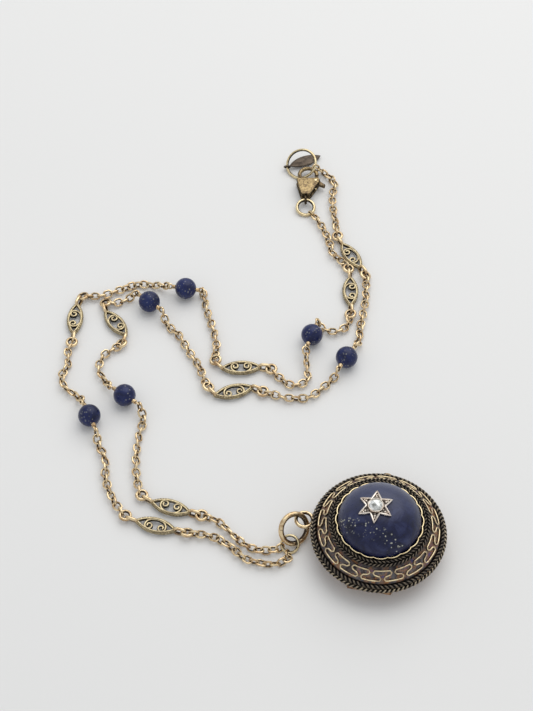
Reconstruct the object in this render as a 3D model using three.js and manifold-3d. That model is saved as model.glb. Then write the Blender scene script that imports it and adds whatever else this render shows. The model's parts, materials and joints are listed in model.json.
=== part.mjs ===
// A round hinged locket with a lapis dome, on a chain of cable links, filigree links and lapis beads.
// Millimetres, +Z up. The locket lies closed on its back: the origin is the centre of its flat back,
// and the surface it lies on is z = 0. The chain lies loose on that surface.
import * as THREE from 'three';
import { mergeVertices } from 'three/addons/utils/BufferGeometryUtils.js';
import Module from 'manifold-3d';

// ---- driving dimensions -------------------------------------------------------------------
const TURNS = 32;                 // sides of a large turned part
const LOCKET_RADIUS = 14.3;       // to the outside of the rope border
const SPLIT_HEIGHT = 4.1;         // where the cover leaves the back
const FIT_GAP = 0.05;             // between pieces that are soldered or set against each other
const BACK_WALL_RADIUS = 12.6;
const RIM_RADIUS = 13.3;
const ROPE_RADIUS = 0.4;          // the two ropes of the outer border
const BEZEL_ROPE_RADIUS = 0.33;   // the two ropes round the bezel
const DOME_BASE = 8.75;           // underside of the lapis dome
const DOME_RADIUS = 8.58;
const DOME_SPRING = 9.15;         // height where the dome leaves its straight girdle
const DOME_HEIGHT = 5.85;         // from there to the crown
const STAR_CENTRE = [-1.1, -0.3]; // the star is set a little off the crown
const STAR_PEG_RADIUS = 0.45;
const STAR_SEAT = 14.75;          // underside of the star
const KEY_REPEATS = 16;           // repeats of the key pattern on the cover's shoulder
const KEY_WIRE = 0.32;
const SCALLOPS = 20;

const HINGE_TURN = -10.4;         // degrees from -Y to the middle of the hinge
const HINGE_RADIUS = 13.0;        // hinge axis, from the locket's axis
const HINGE_HEIGHT = 3.5;
const KNUCKLE_RADIUS = 0.5;
const KNUCKLE_BORE = 0.28;
const PIN_RADIUS = 0.23;
const BARREL_LENGTH = 9.0;
const COVER_KNUCKLE_LENGTH = 3.0;
const KNUCKLE_GAP = 0.1;
const BARREL_ROOM = 0.65;         // the rims are cut back this far round the hinge axis

const CHAIN_RADIUS = 0.9;         // outside of the cable links
const CHAIN_HEIGHT = 0.95;        // middle of the chain above the surface
const CHAIN_STEP = 4.2;
const BEAD_RADIUS = 2.5;
const BEAD_BORE = 0.42;
const BEAD_WIRE = 0.32;
const BEAD_REACH = 3.2;           // from a bead's middle to where its wire meets the chain
const LINK_HALF = 4.7;            // half the length of a filigree link
const LINK_HALF_WIDTH = 1.95;
const LINK_BOTTOM = 0.35;
const LINK_THICKNESS = 1.1;
const LINK_EYE = 5.15;            // from a link's middle to the middle of its end eye

// ---- materials -------------------------------------------------------------------------------
function metal(colour, roughness) {
  return new THREE.MeshStandardMaterial({ color: colour, roughness, metalness: 1 });
}

const gold = metal(0xb08a4e, 0.35);
const darkGold = metal(0x6f5a3c, 0.5);
const paleGold = metal(0xcbb27c, 0.3);
const lapis = new THREE.MeshStandardMaterial({ color: 0x1c2350, roughness: 0.3, metalness: 0 });
const crystal = new THREE.MeshStandardMaterial({ color: 0xe8eef0, roughness: 0.05, metalness: 0 });
const card = new THREE.MeshStandardMaterial({ color: 0xb9a88a, roughness: 0.9, metalness: 0 });

// ---- solids -----------------------------------------------------------------------------------
const wasm = await Module();
wasm.setup();

function toSolid(geometry) {
  const bare = geometry.clone();
  bare.deleteAttribute('normal');
  bare.deleteAttribute('uv');
  const merged = mergeVertices(bare, 1e-4);
  return new wasm.Manifold(new wasm.Mesh({
    numProp: 3,
    vertProperties: new Float32Array(merged.attributes.position.array),
    triVerts: new Uint32Array(merged.index.array),
  }));
}

function toGeometry(solid) {
  const mesh = solid.getMesh();
  const geometry = new THREE.BufferGeometry();
  geometry.setAttribute('position', new THREE.BufferAttribute(mesh.vertProperties, 3));
  geometry.setIndex(new THREE.BufferAttribute(mesh.triVerts, 1));
  geometry.computeVertexNormals();
  return geometry;
}

function join(...geometries) {
  return toGeometry(geometries.map(toSolid).reduce((whole, piece) => whole.add(piece)));
}

function cut(geometry, ...tools) {
  return toGeometry(tools.map(toSolid).reduce((whole, tool) => whole.subtract(tool), toSolid(geometry)));
}

// A turned solid about +Z. The profile is [radius, height] points, up the outside and down the inside.
function turned(profile, sides = TURNS) {
  const points = profile.map(([radius, height]) => new THREE.Vector2(radius, height));
  return new THREE.LatheGeometry(points, sides).rotateX(Math.PI / 2);
}

// A turned ring of rectangular section.
function band(innerRadius, outerRadius, bottom, top, sides = TURNS) {
  return turned([
    [innerRadius, bottom],
    [outerRadius, bottom],
    [outerRadius, top],
    [innerRadius, top],
    [innerRadius, bottom],
  ], sides);
}

function disc(radius, bottom, top, sides = TURNS) {
  return new THREE.CylinderGeometry(radius, radius, top - bottom, sides)
    .rotateX(Math.PI / 2)
    .translate(0, 0, (bottom + top) / 2);
}

// A wire ring lying flat at the given height.
function wireRing(ringRadius, wireRadius, height = 0, sides = 6, steps = TURNS) {
  return new THREE.TorusGeometry(ringRadius, wireRadius, sides, steps).translate(0, 0, height);
}

function slab(shape, thickness, bottom, curveSegments = 8) {
  return new THREE.ExtrudeGeometry(shape, { depth: thickness, bevelEnabled: false, curveSegments })
    .translate(0, 0, bottom);
}

// A round tube that follows a curve, with flat ends.
function tube(curve, radius, steps, sides = 8) {
  const section = new THREE.Shape();
  for (let i = 0; i < sides; i += 1) {
    const angle = (2 * Math.PI * (i + 0.5)) / sides;
    const point = [radius * Math.cos(angle), radius * Math.sin(angle)];
    if (i === 0) section.moveTo(...point);
    else section.lineTo(...point);
  }
  section.closePath();
  return new THREE.ExtrudeGeometry(section, { steps, bevelEnabled: false, extrudePath: curve });
}

// A ring turned so that its axis points along the given direction, about the given centre.
function placedRing(ringRadius, wireRadius, centre, axis, sides = 6, steps = 20) {
  const turn = new THREE.Quaternion().setFromUnitVectors(
    new THREE.Vector3(0, 0, 1),
    new THREE.Vector3(...axis).normalize(),
  );
  return new THREE.TorusGeometry(ringRadius, wireRadius, sides, steps)
    .applyQuaternion(turn)
    .translate(...centre);
}

const model = new THREE.Group();

function place(name, geometry, material, parent = model) {
  const mesh = new THREE.Mesh(geometry, material);
  mesh.name = name;
  parent.add(mesh);
  return mesh;
}

// ---- the back ---------------------------------------------------------------------------------
// Everything of the locket proper stands in one group, turned so that the hinge is on its -Y side.
const locket = new THREE.Group();
locket.rotation.z = THREE.MathUtils.degToRad(HINGE_TURN);
model.add(locket);

const backTop = SPLIT_HEIGHT - FIT_GAP;

// The pin lies along X at this place, and the case leaves room round it for the barrel.
function alongHinge(geometry, middle = 0) {
  return geometry
    .rotateZ(Math.PI / 2)
    .translate(middle, -HINGE_RADIUS, HINGE_HEIGHT);
}

const barrelRoom = alongHinge(new THREE.CylinderGeometry(BARREL_ROOM, BARREL_ROOM, BARREL_LENGTH + 0.6, 16));

place('back_shell', cut(turned([
  [0, 0],
  [6, 0],
  [9.5, 0.7],
  [11.6, 1.9],
  [BACK_WALL_RADIUS, 3.2],
  [BACK_WALL_RADIUS, backTop],
  [12.1, backTop],
  [12.1, 3.3],
  [11.2, 2.3],
  [9.2, 1.2],
  [6, 0.5],
  [0, 0.5],
]), barrelRoom), gold, locket);
place('back_rim', cut(band(BACK_WALL_RADIUS + FIT_GAP, RIM_RADIUS, 3.05, backTop), barrelRoom), gold, locket);

function knuckle(length, middle, foot) {
  const blank = alongHinge(new THREE.CylinderGeometry(KNUCKLE_RADIUS, KNUCKLE_RADIUS, length, 16), middle);
  const bore = alongHinge(new THREE.CylinderGeometry(KNUCKLE_BORE, KNUCKLE_BORE, length + 1, 12), middle);
  const [footY, footZ, width, height] = foot;
  const plate = new THREE.BoxGeometry(length, width, height).translate(middle, footY, footZ);
  return cut(join(blank, plate), bore);
}

const sideLength = (BARREL_LENGTH - COVER_KNUCKLE_LENGTH) / 2 - KNUCKLE_GAP;
const sideMiddle = (BARREL_LENGTH - sideLength) / 2;
const backFoot = [-12.83, 3.0, 0.34, 0.3];
const coverFoot = [-13.0, 4.02, 0.36, 0.16];
place('back_knuckle_left', knuckle(sideLength, -sideMiddle, backFoot), gold, locket);
place('back_knuckle_right', knuckle(sideLength, sideMiddle, backFoot), gold, locket);
place('hinge_pin', alongHinge(
  new THREE.CylinderGeometry(PIN_RADIUS, PIN_RADIUS, BARREL_LENGTH + 0.3, 12),
), darkGold, locket);

// A frame holds a glass over a picture: a ring with a lip, open on the picture's side.
function pictureFrame(lipLow, lipHigh, wallEnd) {
  const wallLow = Math.min(lipLow, wallEnd);
  const wallHigh = Math.max(lipHigh, wallEnd);
  return join(band(10.5, 11.9, lipLow, lipHigh), band(11.3, 11.9, wallLow, wallHigh));
}

place('back_picture', disc(10.9, 2.65, 2.85), card, locket);
place('back_glass', disc(11.2, 2.95, 3.45), crystal, locket);
place('back_picture_frame', pictureFrame(3.55, 3.95, 3.3), paleGold, locket);

// ---- the cover --------------------------------------------------------------------------------
const coverBottom = SPLIT_HEIGHT + FIT_GAP;

place('cover_knuckle', knuckle(COVER_KNUCKLE_LENGTH, 0, coverFoot), gold, locket);
place('cover_rim', band(12.55, RIM_RADIUS, coverBottom, 4.9), gold, locket);
place('front_shell', turned([
  [0, 8.1],
  [9.6, 7.9],
  [10.9, 6.9],
  [12.4, 5.6],
  [12.5, 4.95],
  [13, 4.95],
  [13, 5.45],
  [12.75, 5.92],
  [11.23, 7.32],
  [10.2, 8.3],
  [8.6, 8.7],
  [0, 8.7],
]), darkGold, locket);
place('front_picture_frame', pictureFrame(4.2, 4.55, 5.3), paleGold, locket);
place('front_glass', disc(11.2, 4.62, 5.1), crystal, locket);
place('front_picture', disc(10.9, 5.2, 5.4), card, locket);
place('border_rope_outer', wireRing(LOCKET_RADIUS - ROPE_RADIUS, ROPE_RADIUS, 4.66), darkGold, locket);
place('border_rope_inner', wireRing(13.45, ROPE_RADIUS, 5.38), darkGold, locket);
place('bezel_rope_outer', wireRing(10.24, BEZEL_ROPE_RADIUS, 8.7), darkGold, locket);
place('bezel_rope_inner', wireRing(9.57, BEZEL_ROPE_RADIUS, 8.9), darkGold, locket);

// The key pattern is one closed wire. Its outer and inner runs overlap, so that each hooks its neighbour.
// Each step is [share of a repeat, 0 at the inner edge to 1 at the outer edge].
const keySteps = [
  [-0.36, 1],
  [0.36, 1],
  [0.43, 0.77],
  [0.36, 0.56],
  [0.15, 0.44],
  [0.07, 0.23],
  [0.14, 0],
  [0.86, 0],
  [0.93, 0.23],
  [0.85, 0.44],
  [0.64, 0.56],
  [0.57, 0.77],
];
const keyInner = { radius: 11.15, height: 7.76 };
const keyOuter = { radius: 12.5, height: 6.5 };

function keyPoint(repeat, [share, across]) {
  const angle = (2 * Math.PI * (repeat + share)) / KEY_REPEATS;
  const radius = THREE.MathUtils.lerp(keyInner.radius, keyOuter.radius, across);
  const height = THREE.MathUtils.lerp(keyInner.height, keyOuter.height, across);
  return new THREE.Vector3(radius * Math.cos(angle), radius * Math.sin(angle), height);
}

// A closed wire of square section, built corner by corner so that it meets itself without a seam.
function closedWire(points, width) {
  const corners = [];
  const count = points.length;
  for (let i = 0; i < count; i += 1) {
    const along = points[(i + 1) % count].clone().sub(points[(i + count - 1) % count]).normalize();
    const flat = new THREE.Vector3(points[i].x, points[i].y, 0).normalize();
    const up = new THREE.Vector3(flat.x * 0.69, flat.y * 0.69, 0.72);
    up.addScaledVector(along, -up.dot(along)).normalize();
    const side = new THREE.Vector3().crossVectors(up, along);
    for (const [a, b] of [[-1, -1], [1, -1], [1, 1], [-1, 1]]) {
      const corner = points[i].clone();
      corner.addScaledVector(side, (a * width) / 2);
      corner.addScaledVector(up, (b * width) / 2);
      corners.push(corner);
    }
  }
  const index = [];
  for (let i = 0; i < count; i += 1) {
    const here = 4 * i;
    const next = 4 * ((i + 1) % count);
    for (let k = 0; k < 4; k += 1) {
      const l = (k + 1) % 4;
      index.push(here + k, here + l, next + l, here + k, next + l, next + k);
    }
  }
  const geometry = new THREE.BufferGeometry().setFromPoints(corners);
  geometry.setIndex(index);
  geometry.computeVertexNormals();
  return geometry;
}

const keyPoints = [];
for (let repeat = 0; repeat < KEY_REPEATS; repeat += 1) {
  for (const step of keySteps) keyPoints.push(keyPoint(repeat, step));
}
place('key_pattern_wire', closedWire(keyPoints, KEY_WIRE), paleGold, locket);

function scallopedBezel() {
  const shape = new THREE.Shape();
  const steps = SCALLOPS * 4;
  for (let i = 0; i < steps; i += 1) {
    const angle = (2 * Math.PI * i) / steps;
    const radius = 8.84 + 0.26 * Math.abs(Math.sin((SCALLOPS * angle) / 2));
    const point = [radius * Math.cos(angle), radius * Math.sin(angle)];
    if (i === 0) shape.moveTo(...point);
    else shape.lineTo(...point);
  }
  shape.closePath();
  const hole = new THREE.Path();
  hole.absarc(0, 0, DOME_RADIUS + FIT_GAP, 0, 2 * Math.PI, true);
  shape.holes.push(hole);
  return slab(shape, 0.68, DOME_BASE + 0.02, 20);
}

place('scalloped_bezel', scallopedBezel(), paleGold, locket);

function dome() {
  const profile = [[0, DOME_BASE], [DOME_RADIUS, DOME_BASE]];
  const rows = 8;
  for (let i = 0; i <= rows; i += 1) {
    const angle = (Math.PI / 2) * (i / rows);
    const radius = i === rows ? 0 : DOME_RADIUS * Math.cos(angle);
    profile.push([radius, DOME_SPRING + DOME_HEIGHT * Math.sin(angle)]);
  }
  const peg = new THREE.CylinderGeometry(STAR_PEG_RADIUS + FIT_GAP, STAR_PEG_RADIUS + FIT_GAP, 6, 12);
  peg.rotateX(Math.PI / 2).translate(...STAR_CENTRE, 15.2);
  return cut(turned(profile), peg);
}

place('lapis_dome', dome(), lapis, locket);

// The star's six points droop over the dome, round a raised collet that holds the stone.
function starMount() {
  const shape = new THREE.Shape();
  for (let i = 0; i < 12; i += 1) {
    const angle = (Math.PI * i) / 6 + Math.PI / 2;
    const radius = i % 2 === 0 ? 3.7 : 2.0;
    const point = [radius * Math.cos(angle), radius * Math.sin(angle)];
    if (i === 0) shape.moveTo(...point);
    else shape.lineTo(...point);
  }
  shape.closePath();
  const plate = slab(shape, 0.55, STAR_SEAT + 0.35);
  const collet = disc(1.9, STAR_SEAT + 0.4, STAR_SEAT + 1.25, 16);
  const seat = disc(1.6, STAR_SEAT + 0.75, STAR_SEAT + 2, 16);
  const peg = disc(STAR_PEG_RADIUS, STAR_SEAT - 2.3, STAR_SEAT + 0.6, 12);
  return cut(join(plate, collet, peg), seat).translate(...STAR_CENTRE, 0);
}

place('star_mount', starMount(), paleGold, locket);
place('star_stone', turned([
  [0, STAR_SEAT + 0.8],
  [1.55, STAR_SEAT + 0.8],
  [1.55, STAR_SEAT + 1.05],
  [0.8, STAR_SEAT + 1.55],
  [0, STAR_SEAT + 1.7],
], 12).translate(...STAR_CENTRE, 0), crystal, locket);

// A thumbnail lip on the cover's edge, opposite the hinge.
function thumbLip() {
  const shape = new THREE.Shape();
  shape.absarc(0, 0, 1.6, 0, Math.PI, false);
  shape.closePath();
  return slab(shape, 0.35, 3.82, 10).translate(0, 13.4, 0);
}

place('thumb_lip', thumbLip(), gold, locket);

// ---- the bail and its rings -------------------------------------------------------------------
const BAIL_ANGLE = THREE.MathUtils.degToRad(167);
const bailCentre = [15.75 * Math.cos(BAIL_ANGLE), 15.75 * Math.sin(BAIL_ANGLE), 3.6];
const bailFoot = new THREE.BoxGeometry(0.7, 1.6, 0.6).rotateZ(BAIL_ANGLE)
  .translate(13.75 * Math.cos(BAIL_ANGLE), 13.75 * Math.sin(BAIL_ANGLE), 3.6);
place('bail_loop', join(placedRing(1.75, 0.35, bailCentre, [0, 0, 1]), bailFoot), gold);
place('pendant_ring', placedRing(3.15, 0.5, [-17.5, 1.7, 2.96], [0.483, -0.595, 0.643]), gold);
place('strand_ring', placedRing(1.8, 0.28, [-18.4, -0.95, 1.21], [0.019, 0.497, -0.868]), paleGold);

// ---- the chain --------------------------------------------------------------------------------
const FILIGREE = {
  f1: { centre: [-68.1, 59.4], turn: -91 },
  f2: { centre: [-58.5, 58.1], turn: -53 },
  f3: { centre: [-29.1, 45.2], turn: 2 },
  f4: { centre: [-30.7, 38.6], turn: 15 },
  f5: { centre: [-43.8, 8.2], turn: -18 },
  f6: { centre: [-46.8, 3.7], turn: -16 },
  f7: { centre: [-2.8, 78.8], turn: -61 },
  f8: { centre: [-3.4, 67.7], turn: -91 },
};

const BEADS = {
  b1: { centre: [-42.4, 67.3], turn: -10 },
  b2: { centre: [-50.8, 63.3], turn: -40 },
  b3: { centre: [-55.1, 36.4], turn: 143 },
  b4: { centre: [-62.6, 30.9], turn: 114 },
  b5: { centre: [-12.8, 53.5], turn: 70 },
  b6: { centre: [-5, 47], turn: 58 },
};

// Each run of cable chain, by the points that it passes. Where a run carries a bead, before and after are
// the points on either side of it.
const RUNS = {
  chain_run_a1: {
    points: [[-19, -4.4], [-22, -5.6], [-24.9, -5.2], [-27.9, -4.2], [-30.8, -1.4], [-34.8, 1], [-40.7, 2]],
  },
  chain_run_a2: {
    before: [[-53.1, 5.9], [-55.1, 8.3], [-56.9, 11.6], [-58.2, 15.8], [-58.6, 20.4], [-60.4, 24.6]],
    bead: 'b4',
    after: [[-65.6, 37], [-68.8, 39.6], [-69.8, 42.8], [-68.7, 46.4], [-69, 50], [-68.2, 53]],
  },
  chain_run_a3: {
    before: [[-66.7, 66.1], [-64.4, 66.1], [-61.6, 66.6], [-58.2, 68], [-54, 69.7], [-49.6, 69.5]],
    bead: 'b1',
    after: [[-38.3, 67.2], [-37.4, 62.4], [-36.1, 57.6], [-34.9, 52.4], [-34.9, 47]],
  },
  chain_run_a4: {
    before: [[-22.5, 44.9], [-20.6, 42.6], [-17.6, 40.3], [-14.2, 41.4], [-14.1, 45.4]],
    bead: 'b5',
    after: [[-10.9, 57.2], [-7.7, 55.6], [-4.9, 56.9], [-3.5, 61.4]],
  },
  chain_run_a5: {
    points: [
      [-3.5, 74.3],
      [-5.2, 77],
      [-7.4, 79.8],
      [-7.9, 82.6],
      [-8.9, 86.2],
      [-10.2, 89.3],
      [-11.4, 91.4],
    ],
  },
  chain_run_b1: {
    points: [[-21.2, -2], [-24.9, -2.3], [-27.7, -1], [-30.1, 1.1], [-31.9, 3.1], [-34.4, 5.1], [-37.8, 6.3]],
  },
  chain_run_b2: {
    before: [[-50.2, 11.3], [-51.2, 14.6], [-51.8, 19.6], [-51.6, 25.6], [-50.8, 31]],
    bead: 'b3',
    after: [[-59.7, 41.2], [-61.6, 44.8], [-60.4, 49], [-57, 51.8]],
  },
  chain_run_b3: {
    before: [[-61.3, 64.1], [-58.6, 64.2], [-56, 65.3]],
    bead: 'b2',
    after: [[-46.6, 57.9], [-43.6, 54.4], [-41.2, 49.9], [-38.9, 45.9], [-36.6, 40]],
  },
  chain_run_b4: {
    before: [[-24.5, 38.6], [-21.6, 37.6], [-18.1, 36.7], [-13.9, 36.9], [-10.2, 39.9], [-7.8, 42.6]],
    bead: 'b6',
    after: [[-2, 52.6], [-1.4, 57.2], [-0.4, 62], [0.3, 67.6], [0.3, 72.8]],
  },
  chain_run_b5: {
    points: [[-5.9, 84.7], [-6.3, 89.3], [-6.8, 94.6], [-6.8, 99], [-6.2, 102.6], [-9.2, 106.8]],
  },
};

function direction(turn) {
  const angle = THREE.MathUtils.degToRad(turn);
  return [Math.cos(angle), Math.sin(angle)];
}

function beadEnd(bead, side, reach) {
  const { centre, turn } = BEADS[bead];
  const [x, y] = direction(turn);
  return [centre[0] + side * reach * x, centre[1] + side * reach * y];
}

function flat(points, height = CHAIN_HEIGHT) {
  return points.map(([x, y]) => new THREE.Vector3(x, y, height));
}

function chainTube(points) {
  const curve = new THREE.CatmullRomCurve3(points, false, 'centripetal');
  const steps = Math.max(3, Math.round(curve.getLength() / CHAIN_STEP));
  return tube(curve, CHAIN_RADIUS, steps);
}

function rod(from, to, radius) {
  return tube(new THREE.LineCurve3(from, to), radius, 1);
}

function chainRun(run) {
  if (!run.bead) return chainTube(flat(run.points));
  const [nearIn] = flat([beadEnd(run.bead, -1, BEAD_REACH)], BEAD_RADIUS);
  const [nearOut] = flat([beadEnd(run.bead, 1, BEAD_REACH)], BEAD_RADIUS);
  const overlap = nearOut.clone().sub(nearIn).normalize().multiplyScalar(0.4);
  const wire = rod(nearIn.clone().sub(overlap), nearOut.clone().add(overlap), BEAD_WIRE);
  return join(chainTube([...flat(run.before), nearIn]), wire, chainTube([nearOut, ...flat(run.after)]));
}

for (const [name, run] of Object.entries(RUNS)) place(name, chainRun(run), gold);

function beadGeometry({ centre, turn }) {
  const profile = [];
  const rows = 8;
  const mouth = Math.asin(BEAD_BORE / BEAD_RADIUS);
  for (let i = 0; i <= rows; i += 1) {
    const angle = -Math.PI / 2 + mouth + ((Math.PI - 2 * mouth) * i) / rows;
    profile.push([BEAD_RADIUS * Math.cos(angle), BEAD_RADIUS * Math.sin(angle)]);
  }
  profile.push(profile[0]);
  return turned(profile, 14)
    .rotateY(Math.PI / 2)
    .rotateZ(THREE.MathUtils.degToRad(turn))
    .translate(...centre, BEAD_RADIUS);
}

Object.values(BEADS).forEach((bead, i) => place(`lapis_bead_${i + 1}`, beadGeometry(bead), lapis));

// The outline of a pointed oval, made of two arcs.
function navette(halfLength, halfWidth) {
  const radius = (halfLength ** 2 + halfWidth ** 2) / (2 * halfWidth);
  const drop = radius - halfWidth;
  const half = Math.asin(halfLength / radius);
  const shape = new THREE.Shape();
  shape.absarc(0, -drop, radius, Math.PI / 2 - half, Math.PI / 2 + half, false);
  shape.absarc(0, drop, radius, (3 * Math.PI) / 2 - half, (3 * Math.PI) / 2 + half, false);
  return shape;
}

// A filigree link is a pointed oval, pierced either side of its middle, with an eye at each end.
function filigreeGeometry({ centre, turn }) {
  const shape = navette(LINK_HALF, LINK_HALF_WIDTH);
  for (const side of [-1, 1]) {
    const hole = new THREE.Path();
    hole.absellipse(side * 1.85, 0, 1.4, 0.85, 0, 2 * Math.PI, true);
    shape.holes.push(hole);
  }
  const pieces = [slab(shape, LINK_THICKNESS, LINK_BOTTOM, 5)];
  for (const side of [-1, 1]) {
    pieces.push(band(0.35, 0.8, LINK_BOTTOM + 0.2, LINK_BOTTOM + 0.9, 10).translate(side * LINK_EYE, 0, 0));
  }
  return join(...pieces).rotateZ(THREE.MathUtils.degToRad(turn)).translate(...centre, 0);
}

Object.values(FILIGREE).forEach((link, i) => {
  place(`filigree_link_${i + 1}`, filigreeGeometry(link), paleGold);
});

// ---- the clasp --------------------------------------------------------------------------------
// A trigger clasp: a hollow wedge with a hook, a sprung lever that closes the hook, and a tail eye.
const CLASP_MIDDLE = 1.5;         // height of its middle plane
const HOOK_CENTRE = [-12.8, 105.1];
const HOOK_RADIUS = 2.15;
const HOOK_HALF_WIDTH = 0.5;
const LEVER_PIVOT = [-11, 102.1];
const LEVER_THICKNESS = 0.8;
const TAIL_EYE = [-13.6, 96.5, CLASP_MIDDLE];

function outline(points) {
  const shape = new THREE.Shape();
  points.forEach((point, i) => (i === 0 ? shape.moveTo(...point) : shape.lineTo(...point)));
  shape.closePath();
  return shape;
}

function hookShape() {
  const from = THREE.MathUtils.degToRad(-8);
  const to = THREE.MathUtils.degToRad(232);
  const shape = new THREE.Shape();
  shape.absarc(...HOOK_CENTRE, HOOK_RADIUS + HOOK_HALF_WIDTH, from, to, false);
  shape.absarc(...HOOK_CENTRE, HOOK_RADIUS - HOOK_HALF_WIDTH, to, from, true);
  shape.closePath();
  return shape;
}

function claspBody() {
  const wedge = slab(outline([
    [-15.9, 103],
    [-14.7, 97.6],
    [-12.5, 97.6],
    [-9.8, 102.4],
    [-10.2, 103.1],
    [-13.6, 103.1],
  ]), 2.4, CLASP_MIDDLE - 1.2);
  const hook = slab(hookShape(), 1, CLASP_MIDDLE - 0.5, 12);
  const eye = placedRing(0.85, 0.3, TAIL_EYE, [1, 0, 0], 6, 14);
  const slotHalf = LEVER_THICKNESS / 2 + 0.1;
  const slotOutline = outline([[-12.7, 104], [-12.7, 100.6], [-11, 99.4], [-8, 99.4], [-8, 104]]);
  const slot = slab(slotOutline, 2 * slotHalf, CLASP_MIDDLE - slotHalf);
  const bore = disc(0.33, 0, 3, 10).translate(...LEVER_PIVOT, 0);
  return cut(join(wedge, hook, eye), slot, bore);
}

function claspLever() {
  const plate = slab(outline([
    [-11.7, 101.6],
    [-11.2, 101.4],
    [-9.9, 101.2],
    [-8.8, 100.6],
    [-8.5, 101.4],
    [-9.7, 102.4],
    [-10.1, 103.4],
    [-10.35, 104.5],
    [-11, 104.5],
    [-11.2, 103],
    [-11.8, 102.4],
  ]), LEVER_THICKNESS, CLASP_MIDDLE - LEVER_THICKNESS / 2);
  return cut(plate, disc(0.36, 0, 3, 10).translate(...LEVER_PIVOT, 0));
}

place('clasp_body', claspBody(), darkGold);
place('clasp_lever', claspLever(), gold);
place('clasp_pivot_pin', disc(0.28, 0.35, 2.65, 10).translate(...LEVER_PIVOT, 0), paleGold);
place('clasp_ring', placedRing(2.1, 0.4, [-13.6, 94.47, 0.98], [0, -0.25, 0.968]), paleGold);
place('end_ring', placedRing(3.7, 0.3, [-14.49, 108.2, 2.23], [-0.3, -0.409, 0.862]), paleGold);
place('clasp_spring', slab(outline([
  [-12.4, 101],
  [-11, 99.9],
  [-10.8, 100.1],
  [-12.2, 101.2],
]), 0.6, CLASP_MIDDLE - 0.3), paleGold);

// A plain pointed tag hangs from the end ring by a small loop at its left tip.
const TAG_LOOP = [-18, 108.3, 1.04];
const TAG_TURN = 27.5;
const TAG_HALF = 4.5;
const TAG_HALF_WIDTH = 1.6;

function tagGeometry() {
  const [x, y] = direction(TAG_TURN);
  const plate = slab(navette(TAG_HALF, TAG_HALF_WIDTH), 0.4, -0.2, 6)
    .rotateY(THREE.MathUtils.degToRad(3.9))
    .rotateZ(THREE.MathUtils.degToRad(TAG_TURN))
    .translate(TAG_LOOP[0] + 5.1 * x, TAG_LOOP[1] + 5.1 * y, 0.75);
  return join(plate, placedRing(0.75, 0.2, TAG_LOOP, [0.02, -0.9, -0.43], 6, 14));
}

place('blank_tag', tagGeometry(), darkGold);

export default model;
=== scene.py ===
"""A lapis locket on its chain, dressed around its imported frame. Lengths are in millimetres until a
piece is finished, and its mesh is then brought to metres."""
import json
import math
import random

import bmesh
import bpy
from mathutils import Matrix, Quaternion, Vector


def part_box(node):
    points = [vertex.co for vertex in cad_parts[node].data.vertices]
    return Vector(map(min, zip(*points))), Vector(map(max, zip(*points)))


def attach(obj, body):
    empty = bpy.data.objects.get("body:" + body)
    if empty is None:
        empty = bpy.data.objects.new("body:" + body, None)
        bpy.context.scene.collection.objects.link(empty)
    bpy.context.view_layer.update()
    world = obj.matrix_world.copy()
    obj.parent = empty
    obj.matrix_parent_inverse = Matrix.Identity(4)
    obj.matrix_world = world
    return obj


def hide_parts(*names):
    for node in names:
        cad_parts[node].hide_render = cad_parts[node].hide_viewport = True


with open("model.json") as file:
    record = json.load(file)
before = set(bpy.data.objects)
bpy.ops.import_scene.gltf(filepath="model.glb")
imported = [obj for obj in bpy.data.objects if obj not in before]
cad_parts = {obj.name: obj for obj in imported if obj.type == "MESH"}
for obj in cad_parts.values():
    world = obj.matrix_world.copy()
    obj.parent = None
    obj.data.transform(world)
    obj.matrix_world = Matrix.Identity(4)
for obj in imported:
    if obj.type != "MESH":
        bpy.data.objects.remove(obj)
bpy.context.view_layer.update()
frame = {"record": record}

MM = 0.001
ROOT = "locket_back"
COVER = "cover"
TRIGGER = "clasp_trigger"
JOINTS = {joint["name"]: joint for joint in frame["record"]["behaviour"]["joints"]}


def millimetres(corner):
    return corner / MM


def node_box(node):
    low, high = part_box(node)
    return millimetres(low), millimetres(high)


def centre_of(node):
    low, high = node_box(node)
    return (low + high) / 2


# ---- camera, light and table ------------------------------------------------------------------
EYE = Vector((-23.3, -157.8, 276.9))
LOOK_DOWN = 53.2
FOCAL_LENGTH = 75.95


def set_camera():
    data = bpy.data.cameras.new("camera")
    data.lens = FOCAL_LENGTH
    data.clip_start = 0.01
    data.clip_end = 10
    camera = bpy.data.objects.new("camera", data)
    camera.location = EYE * MM
    camera.rotation_euler = (math.radians(90 - LOOK_DOWN), 0, 0)
    bpy.context.collection.objects.link(camera)
    bpy.context.scene.camera = camera


def soft_light(name, place, target, width, power, colour=(1, 1, 1)):
    data = bpy.data.lights.new(name, "AREA")
    data.shape = "DISK"
    data.size = width * MM
    data.energy = power
    data.color = colour
    light = bpy.data.objects.new(name, data)
    light.location = Vector(place) * MM
    light.rotation_euler = (Vector(target) - Vector(place)).to_track_quat("-Z", "Y").to_euler()
    bpy.context.collection.objects.link(light)


def set_light():
    soft_light("window", (120, 380, 560), (-20, 40, 0), 860, 2.5, (1, 0.99, 0.97))
    world = bpy.data.worlds.new("room")
    world.use_nodes = True
    background = world.node_tree.nodes["Background"]
    background.inputs["Color"].default_value = (0.86, 0.88, 0.9, 1)
    background.inputs["Strength"].default_value = 0.74
    bpy.context.scene.world = world
    bpy.context.scene.view_settings.view_transform = "Standard"


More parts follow.
